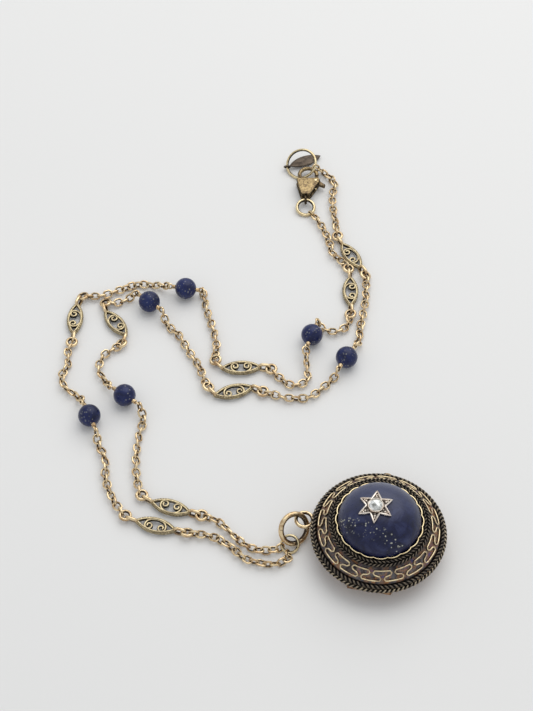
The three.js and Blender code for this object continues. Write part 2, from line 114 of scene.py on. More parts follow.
# ---- materials --------------------------------------------------------------------------------
class Finish:
    """A material under construction: its nodes, its main shader and short ways to add to them."""

    def __init__(self, name, colour, metallic, roughness, **sockets):
        self.material = bpy.data.materials.new(name)
        self.material.use_nodes = True
        self.nodes = self.material.node_tree.nodes
        self.links = self.material.node_tree.links
        self.shader = self.nodes["Principled BSDF"]
        self.set("Base Color", (*colour, 1))
        self.set("Metallic", metallic)
        self.set("Roughness", roughness)
        for socket, value in sockets.items():
            self.set(socket.replace("_", " "), value)
        self.place = self.nodes.new("ShaderNodeTexCoord").outputs["Object"]

    def set(self, socket, value):
        self.shader.inputs[socket].default_value = value

    def feed(self, output, socket):
        self.links.new(output, self.shader.inputs[socket])

    def mapped(self, scale=(1, 1, 1), turn=(0, 0, 0), move=(0, 0, 0)):
        node = self.nodes.new("ShaderNodeMapping")
        self.links.new(self.place, node.inputs["Vector"])
        node.inputs["Scale"].default_value = scale
        node.inputs["Rotation"].default_value = [math.radians(a) for a in turn]
        node.inputs["Location"].default_value = move
        return node.outputs["Vector"]

    def noise(self, size, detail=3, rough=0.55, at=None, distortion=0.0):
        """Noise whose lumps are about this many millimetres across."""
        node = self.nodes.new("ShaderNodeTexNoise")
        self.links.new(self.place if at is None else at, node.inputs["Vector"])
        node.inputs["Scale"].default_value = 1 / (size * MM)
        node.inputs["Detail"].default_value = detail
        node.inputs["Roughness"].default_value = rough
        node.inputs["Distortion"].default_value = distortion
        return node.outputs["Fac"]

    def cells(self, size, feature="F1", output="Distance", at=None):
        node = self.nodes.new("ShaderNodeTexVoronoi")
        node.feature = feature
        self.links.new(self.place if at is None else at, node.inputs["Vector"])
        node.inputs["Scale"].default_value = 1 / (size * MM)
        return node.outputs[output]

    def mark(self, name):
        node = self.nodes.new("ShaderNodeAttribute")
        node.attribute_name = name
        return node.outputs["Fac"]

    def math(self, operation, first, second=0.0, third=0.0):
        node = self.nodes.new("ShaderNodeMath")
        node.operation = operation
        for socket, value in zip(node.inputs, (first, second, third)):
            if isinstance(value, (int, float)):
                socket.default_value = value
            else:
                self.links.new(value, socket)
        return node.outputs[0]

    def spread(self, value, low, high, to_low=0.0, to_high=1.0):
        node = self.nodes.new("ShaderNodeMapRange")
        self.links.new(value, node.inputs["Value"])
        for socket, number in (("From Min", low), ("From Max", high), ("To Min", to_low), ("To Max", to_high)):
            node.inputs[socket].default_value = number
        return node.outputs["Result"]

    def blend(self, factor, first, second):
        node = self.nodes.new("ShaderNodeMix")
        node.data_type = "RGBA"
        self.links.new(factor, node.inputs["Factor"])
        for socket, value in (("A", first), ("B", second)):
            target = next(s for s in node.inputs if s.name == socket and s.type == "RGBA")
            if isinstance(value, tuple):
                target.default_value = (*value, 1)
            else:
                self.links.new(value, target)
        return next(s for s in node.outputs if s.type == "RGBA")

    def ramp(self, value, stops):
        node = self.nodes.new("ShaderNodeValToRGB")
        self.links.new(value, node.inputs["Fac"])
        points = node.color_ramp.elements
        while len(points) < len(stops):
            points.new(0.5)
        for point, (position, colour) in zip(points, stops):
            point.position = position
            point.color = (*colour, 1)
        return node.outputs["Color"]

    def bump(self, height, strength, depth):
        node = self.nodes.new("ShaderNodeBump")
        self.links.new(height, node.inputs["Height"])
        node.inputs["Strength"].default_value = strength
        node.inputs["Distance"].default_value = depth * MM
        if self.shader.inputs["Normal"].is_linked:
            self.links.new(self.shader.inputs["Normal"].links[0].from_socket, node.inputs["Normal"])
        self.feed(node.outputs["Normal"], "Normal")


def worn_and_shaded_metal(name, bright, tarnish, dark, gloss=0.26):
    """Gold that is bright where it is rubbed, tarnished in patches, and darkened where its points' dark mark is high:
    partly oxide in its hollows, partly painted shade in recesses, between parts and under things.
    """
    finish = Finish(name, bright, 1.0, gloss)
    patches = finish.spread(finish.noise(1.3, 4, 0.65), 0.46, 0.62)
    colour = finish.blend(patches, bright, tarnish)
    uneven = finish.spread(finish.noise(0.4, 3), 0.3, 0.7, -0.2, 0.2)
    # Painted shade, partly oxide: the points' dark mark, with some random unevenness, blends the colour towards the
    # dark colour.
    hollow = finish.spread(finish.math("ADD", finish.mark("hollow"), uneven), 0.3, 0.72)
    colour = finish.blend(hollow, colour, dark)
    rough = finish.spread(finish.noise(0.5, 4, 0.7), 0.3, 0.75, gloss - 0.08, gloss + 0.18)
    finish.feed(colour, "Base Color")
    finish.feed(finish.math("ADD", rough, finish.math("MULTIPLY", hollow, 0.25)), "Roughness")
    scratches = finish.noise(0.12, 2, 0.5, at=finish.mapped(scale=(1, 6, 1), turn=(20, 35, 50)))
    finish.bump(scratches, 0.25, 0.02)
    finish.bump(finish.noise(0.9, 3), 0.3, 0.05)
    return finish.material


def patinated_shoulder():
    """The cover's shoulder: grey-brown, with heat colours of copper, violet and blue."""
    finish = Finish("patinated_shoulder", (0.2, 0.17, 0.15), 1.0, 0.42)
    tone = finish.noise(3.4, 5, 0.65, distortion=1.2)
    colour = finish.ramp(tone, [
        (0.34, (0.025, 0.025, 0.033)),
        (0.43, (0.1, 0.08, 0.077)),
        (0.49, (0.15, 0.147, 0.155)),
        (0.56, (0.32, 0.18, 0.1)),
        (0.6, (0.16, 0.105, 0.19)),
        (0.66, (0.09, 0.125, 0.28)),
    ])
    spots = finish.spread(finish.noise(2.0, 5, 0.65, distortion=0.8), 0.53, 0.68)
    colour = finish.blend(finish.math("MULTIPLY", spots, 0.7), colour, (0.62, 0.27, 0.08))
    streaks = finish.spread(finish.noise(0.35, 4, 0.7), 0.5, 0.68, 0, 0.7)
    colour = finish.blend(streaks, colour, (0.05, 0.045, 0.05))
    # Painted shade: near black under the ropes at the shoulder's two edges, from the dark mark.
    colour = finish.blend(finish.mark("hollow"), colour, (0.02, 0.018, 0.018))
    finish.feed(colour, "Base Color")
    finish.feed(finish.spread(finish.noise(0.7, 4, 0.7), 0.3, 0.7, 0.28, 0.55), "Roughness")
    finish.bump(finish.noise(0.3, 5, 0.7), 0.6, 0.08)
    return finish.material


def lapis(name, deep, blue, pale, band=False):
    """Deep blue stone with cloudy tone, pale wisps and grains of pyrite."""
    finish = Finish(name, blue, 0.0, 0.3, Specular_IOR_Level=0.36)
    cloud = finish.noise(2.6, 5, 0.62, distortion=0.6)
    colour = finish.ramp(cloud, [(0.32, deep), (0.5, blue), (0.7, pale)])
    if band:
        # Painted sheen: with band, the stone is lighter and greyer towards +Y, away from the camera.
        fade = finish.nodes.new("ShaderNodeSeparateXYZ")
        finish.links.new(finish.place, fade.inputs["Vector"])
        painted_sheen = finish.spread(fade.outputs["Y"], -0.0035, 0.007, 0, 0.8)
        colour = finish.blend(painted_sheen, colour, (0.08, 0.09, 0.155))
    wisp = finish.spread(finish.noise(1.1, 5, 0.7, distortion=1.5), 0.62, 0.78, 0, 0.3)
    colour = finish.blend(wisp, colour, (0.07, 0.09, 0.17))
    grain = finish.spread(finish.cells(0.62), 0.2, 0.36, 1, 0)
    patch = finish.spread(finish.noise(0.9, 3, 0.6), 0.47, 0.54)
    if band:
        stripe = finish.nodes.new("ShaderNodeSeparateXYZ")
        finish.links.new(finish.mapped(turn=(0, 0, 25.4), move=(0, 0.0054, 0)), stripe.inputs["Vector"])
        across = finish.math("ABSOLUTE", stripe.outputs["Y"])
        far = finish.math("MULTIPLY", patch, finish.spread(across, 0.0008, 0.0016, 1, 0))
        patch = finish.math("MAXIMUM", far, finish.spread(finish.noise(2.4, 3, 0.6), 0.66, 0.72, 0, 0.5))
    else:
        patch = finish.math("MULTIPLY", patch, 0.35)
    pyrite = finish.math("MULTIPLY", grain, patch)
    finish.feed(finish.blend(pyrite, colour, (0.5, 0.5, 0.42)), "Base Color")
    finish.feed(finish.math("MULTIPLY", pyrite, 0.5), "Metallic")
    finish.feed(finish.spread(finish.noise(0.8, 4, 0.7), 0.3, 0.75, 0.24, 0.42), "Roughness")
    finish.bump(finish.noise(0.25, 4, 0.6), 0.2, 0.02)
    return finish.material


def glass(name):
    finish = Finish(name, (0.95, 0.97, 0.98), 0.0, 0.03, Transmission_Weight=1.0, IOR=1.5)
    finish.feed(finish.spread(finish.noise(0.6, 3, 0.7), 0.45, 0.8, 0.02, 0.1), "Roughness")
    finish.feed(finish.blend(finish.noise(5, 2), (0.93, 0.96, 0.97), (0.99, 0.99, 0.98)), "Base Color")
    return finish.material


def rose_cut():
    finish = Finish("rose_cut_stone", (0.75, 0.76, 0.75), 0.0, 0.04, IOR=2.2, Coat_Weight=1.0)
    # Painted reflections: the stone's colour runs at random from dark grey to near white, and its metallic with it,
    # standing in for glints off its facets.
    tone = finish.noise(0.8, 2, 0.5)
    colour = finish.ramp(tone, [(0.35, (0.22, 0.22, 0.2)), (0.5, (0.6, 0.61, 0.58)), (0.64, (0.92, 0.93, 0.92))])
    finish.feed(colour, "Base Color")
    finish.feed(finish.spread(tone, 0.4, 0.7, 0.55, 0.15), "Metallic")
    return finish.material


def picture_card():
    finish = Finish("picture_card", (0.58, 0.5, 0.38), 0.0, 0.85)
    tone = finish.noise(4, 4, 0.6)
    finish.feed(finish.blend(tone, (0.46, 0.38, 0.27), (0.66, 0.59, 0.46)), "Base Color")
    fibre = finish.noise(0.2, 3, 0.7)
    finish.feed(finish.spread(fibre, 0.3, 0.7, 0.75, 0.95), "Roughness")
    finish.bump(fibre, 0.4, 0.03)
    return finish.material


def table_top():
    finish = Finish("table_top", (0.8, 0.79, 0.78), 0.0, 0.7)
    finish.feed(finish.blend(finish.noise(160, 3), (0.79, 0.785, 0.775), (0.82, 0.812, 0.8)), "Base Color")
    finish.bump(finish.noise(0.8, 4, 0.6), 0.08, 0.05)
    return finish.material


# ---- shapes -----------------------------------------------------------------------------------
def ring_section(shape, radius, sides, centre):
    made = bmesh.ops.create_circle(shape, segments=sides, radius=radius)
    verts = made["verts"]
    bmesh.ops.rotate(shape, cent=(0, 0, 0), matrix=Matrix.Rotation(math.pi / 2, 3, "X"), verts=verts)
    bmesh.ops.translate(shape, vec=centre, verts=verts)
    return verts


def spun(shape, geometry, steps, angle=2 * math.pi):
    whole = abs(angle - 2 * math.pi) < 1e-6
    bmesh.ops.spin(shape, geom=geometry, cent=(0, 0, 0), axis=(0, 0, 1), dvec=(0, 0, 0),
                   angle=angle, steps=steps, use_merge=whole, use_duplicate=False)


def turned(profile, steps=96, opening=0.0):
    """A shape turned about Z from a profile of (radius, height) points. Opening leaves this angle out at -Y."""
    shape = bmesh.new()
    verts = [shape.verts.new((radius, 0, height)) for radius, height in profile]
    edges = [shape.edges.new(pair) for pair in zip(verts, verts[1:])]
    if profile[0][0] > 0 or profile[-1][0] > 0:
        edges.append(shape.edges.new((verts[-1], verts[0])))
    if opening:
        bmesh.ops.rotate(shape, cent=(0, 0, 0), matrix=Matrix.Rotation((opening - math.pi) / 2, 3, "Z"), verts=verts)
        spun(shape, verts + edges, steps, 2 * math.pi - opening)
        bmesh.ops.holes_fill(shape, edges=[edge for edge in shape.edges if edge.is_boundary])
    else:
        spun(shape, verts + edges, steps)
    bmesh.ops.remove_doubles(shape, verts=shape.verts, dist=1e-4)
    bmesh.ops.recalc_face_normals(shape, faces=shape.faces)
    return shape


def wire_ring(radius, wire, steps=48, sides=12, stretch=0.0, gap=0.0):
    """A ring of round wire in the XY plane, with painted shade on its inside, where links meet, and none on its
    outside. Stretch parts its two halves along X; gap opens it at +X."""
    shape = bmesh.new()
    verts = ring_section(shape, wire, sides, (radius, 0, 0))
    edges = list({edge for vert in verts for edge in vert.link_edges})
    if gap:
        first = math.asin(gap / (2 * radius))
        bmesh.ops.rotate(shape, cent=(0, 0, 0), matrix=Matrix.Rotation(first, 3, "Z"), verts=verts)
        spun(shape, verts + edges, steps, 2 * math.pi - 2 * first)
        bmesh.ops.holes_fill(shape, edges=[edge for edge in shape.edges if edge.is_boundary])
    else:
        spun(shape, verts + edges, steps)
    # Painted shade: the dark mark rises towards the inside of the ring.
    hollow_by(shape, lambda co: 0.28 - 0.6 * (radius_of(co) - radius) / wire)
    if stretch:
        for side in (-1, 1):
            half = [vert for vert in shape.verts if vert.co.x * side > 0]
            bmesh.ops.translate(shape, vec=(side * stretch, 0, 0), verts=half)
    bmesh.ops.recalc_face_normals(shape, faces=shape.faces)
    return shape


def block(size, centre, bevel=0.0, segments=2):
    shape = bmesh.new()
    made = bmesh.ops.create_cube(shape, size=1)
    bmesh.ops.scale(shape, vec=size, verts=made["verts"])
    bmesh.ops.translate(shape, vec=centre, verts=made["verts"])
    if bevel:
        soften(shape, bevel, segments)
    return shape


def soften(shape, width, segments=2, edges=None):
    bmesh.ops.bevel(shape, geom=shape.edges[:] if edges is None else edges, offset=width, affect="EDGES",
                    segments=segments, profile=0.5, material=-1, clamp_overlap=True)


def slab(outline, thickness, bottom=0.0, bevel=0.0, segments=2):
    """A plate of this outline, with its rims rounded."""
    shape = bmesh.new()
    face = shape.faces.new([shape.verts.new((x, y, bottom)) for x, y in outline])
    made = bmesh.ops.extrude_face_region(shape, geom=[face])
    top = [item for item in made["geom"] if isinstance(item, bmesh.types.BMVert)]
    bmesh.ops.translate(shape, vec=(0, 0, thickness), verts=top)
    bmesh.ops.recalc_face_normals(shape, faces=shape.faces)
    if bevel:
        rims = [edge for edge in shape.edges if abs(edge.verts[0].co.z - edge.verts[1].co.z) < 1e-6]
        soften(shape, bevel, segments, rims)
    return shape


def placed(shape, centre=(0, 0, 0), turn=None):
    if turn is not None:
        bmesh.ops.transform(shape, matrix=turn.to_matrix().to_4x4(), verts=shape.verts)
    bmesh.ops.translate(shape, vec=centre, verts=shape.verts)
    return shape


def added(shape, *others):
    """Adds copies of other shapes to this one."""
    for other in others:
        mesh = bpy.data.meshes.new("copy")
        other.to_mesh(mesh)
        shape.from_mesh(mesh)
        bpy.data.meshes.remove(mesh)
        other.free()
    return shape


def wires(lines, radius, closed=False, sides=1, smooth=False):
    """Round wires along lines of points, as one shape."""
    curve = bpy.data.curves.new("wire", "CURVE")
    curve.dimensions = "3D"
    curve.bevel_depth = radius
    curve.bevel_resolution = sides
    curve.use_fill_caps = True
    for line in lines:
        spline = curve.splines.new("NURBS" if smooth else "POLY")
        spline.points.add(len(line) - 1)
        for point, place in zip(spline.points, line):
            point.co = (*place, 1)
        spline.use_cyclic_u = closed
        if smooth:
            spline.order_u = 3
            spline.resolution_u = 5
            spline.use_endpoint_u = not closed
    holder = bpy.data.objects.new("wire", curve)
    mesh = bpy.data.meshes.new_from_object(holder)
    shape = bmesh.new()
    shape.from_mesh(mesh)
    bmesh.ops.remove_doubles(shape, verts=shape.verts, dist=1e-5)
    bmesh.ops.recalc_face_normals(shape, faces=shape.faces)
    bpy.data.objects.remove(holder)
    bpy.data.curves.remove(curve)
    bpy.data.meshes.remove(mesh)
    return shape


def even(points, count, closed=False):
    """This many points spaced evenly along a line."""
    line = [Vector(p) for p in points]
    if closed:
        line.append(line[0])
    lengths = [0.0]
    for a, b in zip(line, line[1:]):
        lengths.append(lengths[-1] + (b - a).length)
    found = []
    spans = count if closed else count - 1
    k = 0
    for i in range(count):
        goal = lengths[-1] * i / spans
        while k < len(line) - 2 and lengths[k + 1] < goal:
            k += 1
        share = (goal - lengths[k]) / max(lengths[k + 1] - lengths[k], 1e-9)
        found.append(line[k].lerp(line[k + 1], min(share, 1)))
    return found


def twisted_rope(path, radius, twists, hand=1, closed=True, sides=1, per_twist=9):
    """Two wires twisted together along a flat path. Its dark mark, between the wires, is partly oxide and partly
    painted shade; the crests are left light.
    """
    count = twists * per_twist
    line = even(path, count, closed)
    strand = radius * 0.54
    reach = radius - strand
    lines = []
    for start in (0, math.pi):
        wire = []
        for i, point in enumerate(line):
            ahead = line[(i + 1) % count] if closed or i < count - 1 else point
            behind = line[i - 1] if closed or i > 0 else point
            along = (ahead - behind).normalized()
            side = along.cross(Vector((0, 0, 1))).normalized()
            turn = start + hand * 2 * math.pi * i / per_twist
            wire.append(point + reach * (side * math.cos(turn) + Vector((0, 0, math.sin(turn)))))
        lines.append(wire)
    shape = wires(lines, strand, closed, sides)
    return marked(shape, line, radius * 0.8, radius * 1.0)


def marked(shape, line, dark, bright):
    """Sets points' dark mark, partly oxide and partly painted shade, by their distance from a line: 1 at the dark
    distance, 0 at the bright one.
    """
    from mathutils.kdtree import KDTree
    tree = KDTree(len(line))
    for i, point in enumerate(line):
        tree.insert(point, i)
    tree.balance()
    layer = shape.verts.layers.float.get("hollow") or shape.verts.layers.float.new("hollow")
    for vert in shape.verts:
        distance = tree.find(vert.co)[2]
        vert[layer] = min(1, max(0, (bright - distance) / (bright - dark)))
    return shape


def hollow_by(shape, rule):
    """Sets points' dark mark, partly oxide and partly painted shade, by a rule of their place."""
    layer = shape.verts.layers.float.get("hollow") or shape.verts.layers.float.new("hollow")
    for vert in shape.verts:
        vert[layer] = min(1, max(0, rule(vert.co)))
    return shape


def circle(radius, height, count=240):
    return [Vector((radius * math.cos(2 * math.pi * i / count), radius * math.sin(2 * math.pi * i / count), height))
            for i in range(count)]


def piece(name, shape, material, body, nodes=(), crease=40, keep_normals=False):
    """Finishes a shape as a piece that rides on a body and stands for these CAD nodes."""
    bmesh.ops.scale(shape, vec=(MM, MM, MM), verts=shape.verts)
    if not keep_normals:
        bmesh.ops.recalc_face_normals(shape, faces=shape.faces)
    mesh = bpy.data.meshes.new(name)
    shape.to_mesh(mesh)
    shape.free()
    mesh.materials.append(material)
    mesh.shade_smooth()
    mesh.set_sharp_from_angle(angle=math.radians(crease))
    item = bpy.data.objects.new(name, mesh)
    bpy.context.collection.objects.link(item)
    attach(item, body)
    if nodes:
        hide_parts(*nodes)
    return item


HINGE = JOINTS["cover_hinge"]
HINGE_LINE = Vector(HINGE["axis"])
HINGE_TURN = math.atan2(HINGE_LINE.y, HINGE_LINE.x)
FACING_HINGE = Quaternion((0, 0, 1), HINGE_TURN)


def in_case(shape):
    """Turns a shape from the case's own frame, with the hinge on its -Y side, to where the case lies."""
    return placed(shape, turn=FACING_HINGE)


def eased(points, radius, steps=3, closed=True):
    """A line of points with its corners rounded off."""
    line = [Vector(point) for point in points]
    found = []
    for i, here in enumerate(line):
        if not closed and i in (0, len(line) - 1):
            found.append(here)
            continue
        before, after = line[i - 1], line[(i + 1) % len(line)]
        start = here.lerp(before, min(0.45, radius / (before - here).length))
        end = here.lerp(after, min(0.45, radius / (after - here).length))
        for k in range(steps + 1):
            share = k / steps
            found.append(start.lerp(here, share).lerp(here.lerp(end, share), share))
    return found


def smooth_line(points, per_span=10):
    """A centripetal Catmull-Rom curve through points, as a line of closer points."""
    line = [Vector(point) for point in points]
    line = [2 * line[0] - line[1], *line, 2 * line[-1] - line[-2]]
    found = []
    for before, a, b, after in zip(line, line[1:], line[2:], line[3:]):
        lead, span, tail = ((q - p).length ** 0.5 for p, q in ((before, a), (a, b), (b, after)))
        out = ((a - before) / lead - (b - before) / (lead + span) + (b - a) / span) * span
        into = ((b - a) / span - (after - a) / (span + tail) + (after - b) / tail) * span
        for k in range(per_span):
            t = k / per_span
            found.append((2 * t ** 3 - 3 * t ** 2 + 1) * a + (t ** 3 - 2 * t ** 2 + t) * out
                         + (3 * t ** 2 - 2 * t ** 3) * b + (t ** 3 - t ** 2) * into)
    found.append(line[-2])
    return found


def along(line, distance):
    """The place and direction at this distance along a line; beyond its ends it runs on straight."""
    walked = 0.0
    for a, b in zip(line, line[1:]):
        step = (b - a).length
        if walked + step >= distance or b is line[-1]:
            heading = (b - a).normalized()
            return a + heading * (distance - walked), heading
        walked += step
    return line[-1], (line[-1] - line[-2]).normalized()


def length_of(line):
    return sum((b - a).length for a, b in zip(line, line[1:]))


def flat_turn(degrees):
    angle = math.radians(degrees)
    return Vector((math.cos(angle), math.sin(angle), 0))


def set_to(shape, place, heading, roll):
    """Lays a ring's X along a heading, rolled about it, at a place."""
    turn = heading.to_track_quat("X", "Z") @ Quaternion((1, 0, 0), math.radians(roll))
    return placed(shape, place, turn)


def facing(axis):
    return Vector(axis).to_track_quat("Z", "Y")


# ---- the chain: layout ------------------------------------------------------------------------
CHAIN_HEIGHT = 0.95
BEAD_RADIUS = 2.5
LINK_HALF = 4.7
LINK_HALF_WIDTH = 1.95
TIP_WIRE = 4.15
BEAD_EYE = 4.3
CABLE_PITCH = 1.52

FILIGREE = {
    "f1": ((-68.1, 59.4), -91), "f2": ((-58.5, 58.1), -53), "f3": ((-29.1, 45.2), 2),
    "f4": ((-30.7, 38.6), 15), "f5": ((-43.8, 8.2), -18), "f6": ((-46.8, 3.7), -16),
    "f7": ((-2.8, 78.8), -61), "f8": ((-3.4, 67.7), -91),
}
BEADS = {
    "b1": ((-42.4, 67.3), -10), "b2": ((-50.8, 63.3), -40), "b3": ((-55.1, 36.4), 143),
    "b4": ((-62.6, 30.9), 114), "b5": ((-12.8, 53.5), 70), "b6": ((-5, 47), 58),
}
RINGS = {
    "strand_ring": ((-18.4, -0.95, 1.21), (0.019, 0.497, -0.868), 1.8),
    "clasp_ring": ((-13.6, 94.47, 0.98), (0, -0.25, 0.968), 2.1),
    "end_ring": ((-14.49, 108.2, 2.23), (-0.3, -0.409, 0.862), 3.7),
}
RUNS = {
    "a1": ("strand_ring", [(-19, -4.4), (-22, -5.6), (-24.9, -5.2), (-27.9, -4.2), (-30.8, -1.4),
                           (-34.8, 1), (-40.7, 2)], ("f6", 1)),
    "a2": (("f6", -1), [(-53.1, 5.9), (-55.1, 8.3), (-56.9, 11.6), (-58.2, 15.8), (-58.6, 20.4), (-60.4, 24.6)], "b4",
           [(-65.6, 37), (-68.8, 39.6), (-69.8, 42.8), (-68.7, 46.4), (-69, 50), (-68.2, 53)], ("f1", 1)),
    "a3": (("f1", -1), [(-66.7, 66.1), (-64.4, 66.1), (-61.6, 66.6), (-58.2, 68), (-54, 69.7), (-49.6, 69.5)], "b1",
           [(-38.3, 67.2), (-37.4, 62.4), (-36.1, 57.6), (-34.9, 52.4), (-34.9, 47)], ("f3", -1)),
    "a4": (("f3", 1), [(-22.5, 44.9), (-20.6, 42.6), (-17.6, 40.3), (-14.2, 41.4), (-14.1, 45.4)], "b5",
           [(-10.9, 57.2), (-7.7, 55.6), (-4.9, 56.9), (-3.5, 61.4)], ("f8", 1)),
    "a5": (("f8", -1), [(-3.5, 74.3), (-5.2, 77), (-7.4, 79.8), (-7.9, 82.6), (-8.9, 86.2), (-10.2, 89.3),
                        (-11.4, 91.4)], "clasp_ring"),
    "b1": ("strand_ring", [(-21.2, -2), (-24.9, -2.3), (-27.7, -1), (-30.1, 1.1), (-31.9, 3.1),
                           (-34.4, 5.1), (-37.8, 6.3)], ("f5", 1)),
    "b2": (("f5", -1), [(-50.2, 11.3), (-51.2, 14.6), (-51.8, 19.6), (-51.6, 25.6), (-50.8, 31)], "b3",
           [(-59.7, 41.2), (-61.6, 44.8), (-60.4, 49), (-57, 51.8)], ("f2", 1)),
    "b3": (("f2", -1), [(-61.3, 64.1), (-58.6, 64.2), (-56, 65.3)], "b2",
           [(-46.6, 57.9), (-43.6, 54.4), (-41.2, 49.9), (-38.9, 45.9), (-36.6, 40)], ("f4", -1)),
    "b4": (("f4", 1), [(-24.5, 38.6), (-21.6, 37.6), (-18.1, 36.7), (-13.9, 36.9), (-10.2, 39.9), (-7.8, 42.6)], "b6",
           [(-2, 52.6), (-1.4, 57.2), (-0.4, 62), (0.3, 67.6), (0.3, 72.8)], ("f7", 1)),
    "b5": (("f7", -1), [(-5.9, 84.7), (-6.3, 89.3), (-6.8, 94.6), (-6.8, 99), (-6.2, 102.6), (-9.2, 106.8)],
           "end_ring"),
}
LINK_NUMBER = {name: number for number, name in enumerate(FILIGREE, 1)}
BEAD_NUMBER = {name: number for number, name in enumerate(BEADS, 1)}


def on_chain(points, height=CHAIN_HEIGHT):
    return [Vector((x, y, height)) for x, y in points]


def bead_place(bead, side, reach):
    (x, y), turn = BEADS[bead]
    return Vector((x, y, BEAD_RADIUS)) + side * reach * flat_turn(turn)


def anchor(end, toward):
    """Where a run of chain starts: at a filigree link's tip wire, or on a ring's wire nearest to the run."""
    if isinstance(end, tuple):
        (x, y), turn = FILIGREE[end[0]]
        return Vector((x, y, 0.9)) + end[1] * TIP_WIRE * flat_turn(turn)
    centre, axis, radius = RINGS[end]
    axis = Vector(axis).normalized()
    reach = toward - Vector(centre)
    reach -= axis * reach.dot(axis)
    return Vector(centre) + reach.normalized() * radius


def stretches(run):
    """A run's stretches of cable links, each with what holds its two ends."""
    parts = RUNS[run]
    if len(parts) == 3:
        first, points, last = parts
        points = on_chain(points)
        return [(smooth_line([anchor(first, points[0]), *points, anchor(last, points[-1])]), first, last)]
    first, before, bead, after, last = parts
    before, after = on_chain(before), on_chain(after)
    near, far = bead_place(bead, -1, BEAD_EYE), bead_place(bead, 1, BEAD_EYE)
    return [(smooth_line([anchor(first, before[0]), *before, near]), first, bead),
            (smooth_line([far, *after, anchor(last, after[-1])]), bead, last)]


# ---- the chain: pieces ------------------------------------------------------------------------
JOINING_WIRE = 0.36
FIRST_RING = 1.2
SECOND_RING = 2.85
AFTER_RINGS = 4.3
AFTER_RING = 0.45
AFTER_EYE = 0.5


def joining_rings(end, line, reverse, dice):
    """The two heavier rings between a filigree link's tip and the cable links."""
    heading = list(reversed(line)) if reverse else line
    place, direction = along(heading, FIRST_RING)
    long_ring = wire_ring(0.72, JOINING_WIRE, 28, 12, stretch=0.48)
    set_to(long_ring, place, direction, dice.uniform(58, 82))
    place, direction = along(heading, SECOND_RING)
    round_ring = wire_ring(1.08, JOINING_WIRE, 32, 12, stretch=0.02)
    set_to(round_ring, place + Vector((0, 0, 0.1)), direction, dice.uniform(-24, 24))
    shape = above_table(added(long_ring, round_ring))
    side = "near" if end[1] > 0 else "far"
    return piece("joining_rings_%d_%s" % (LINK_NUMBER[end[0]], side), shape, ANTIQUE, ROOT)


def above_table(shape):
    for vert in shape.verts:
        vert.co.z = max(vert.co.z, 0.02)
    return shape


def bead_wire(bead):
    """The wire through a bead: a plain core, wrapped collars and an eye at each end."""
    shape = wires([[Vector((0.15 * i, 0, 0)) for i in range(-22, 23)]], 0.3, sides=3)
    for side in (-1, 1):
        coil = []
        for i in range(40):
            angle = 2 * math.pi * i / 13
            coil.append(Vector((side * (2.52 + 0.26 * i / 13), 0.36 * math.cos(angle), 0.36 * math.sin(angle))))
        added(shape, wires([coil], 0.15, sides=2))
        eye = wire_ring(0.6, 0.2, 24, 8, stretch=0.02)
        added(shape, placed(eye, (side * 3.85, 0, 0), Quaternion((1, 0, 0), math.radians(65))))
    return placed(shape, bead_place(bead, 1, 0), Quaternion((0, 0, 1), math.radians(BEADS[bead][1])))


def cable_run(run):
    """One run's cable links with the wire of its bead, and the joining rings at its ends."""
    dice = random.Random("cable " + run)
    parts = []
    extras = []
    centreline = []
    for line, first, last in stretches(run):
        lead, tail = (AFTER_EYE if end in BEADS else AFTER_RINGS if isinstance(end, tuple) else AFTER_RING
                      for end in (first, last))
        span = length_of(line) - lead - tail
        count = max(1, round(span / CABLE_PITCH))
        for i in range(count + 1):
            place, direction = along(line, lead + span * i / count)
            link = wire_ring(0.78, 0.24, 18, 8, stretch=0.22)
            direction = Quaternion((0, 0, 1), dice.uniform(-0.22, 0.22)) @ direction
            set_to(link, place, direction, (20 if i % 2 else 108) + dice.uniform(-26, 26))
            parts.append(above_table(link))
            centreline.append(place)
        for end, reverse in ((first, False), (last, True)):
            if isinstance(end, tuple):
                extras.append(joining_rings(end, line, reverse, dice))
        if last in BEADS:
            parts.append(bead_wire(last))
    made = piece("cable_links_" + run, added(bmesh.new(), *parts), ANTIQUE, ROOT, ["chain_run_" + run])
    return made, extras, [point * MM for point in centreline]


def lapis_bead(bead, number):
    mouth = math.asin(0.42 / BEAD_RADIUS)
    profile = [(0.42, -2.3)]
    rows = 26
    for i in range(rows + 1):
        angle = -math.pi / 2 + mouth + (math.pi - 2 * mouth) * i / rows
        profile.append((BEAD_RADIUS * math.cos(angle), BEAD_RADIUS * math.sin(angle)))
    profile.append((0.42, 2.3))
    shape = turned(profile, 48)
    placed(shape, turn=Quaternion((0, 1, 0), math.pi / 2))
    placed(shape, (*BEADS[bead][0], BEAD_RADIUS), Quaternion((0, 0, 1), math.radians(BEADS[bead][1])))
    return piece("lapis_round_bead_%d" % number, shape, BEAD_LAPIS, "bead_%d" % number,
                 ["lapis_bead_%d" % number])


def navette(half_length, half_width, steps=24):
    """The outline of a pointed oval made of two arcs."""
    radius = (half_length ** 2 + half_width ** 2) / (2 * half_width)
    half = math.asin(half_length / radius)
    outline = []
    for side in (-1, 1):
        for i in range(steps):
            angle = half - 2 * half * i / steps
            outline.append(Vector((-side * radius * math.sin(angle) * -1,
                                   side * (radius * math.cos(angle) - radius + half_width), 0)))
    return outline


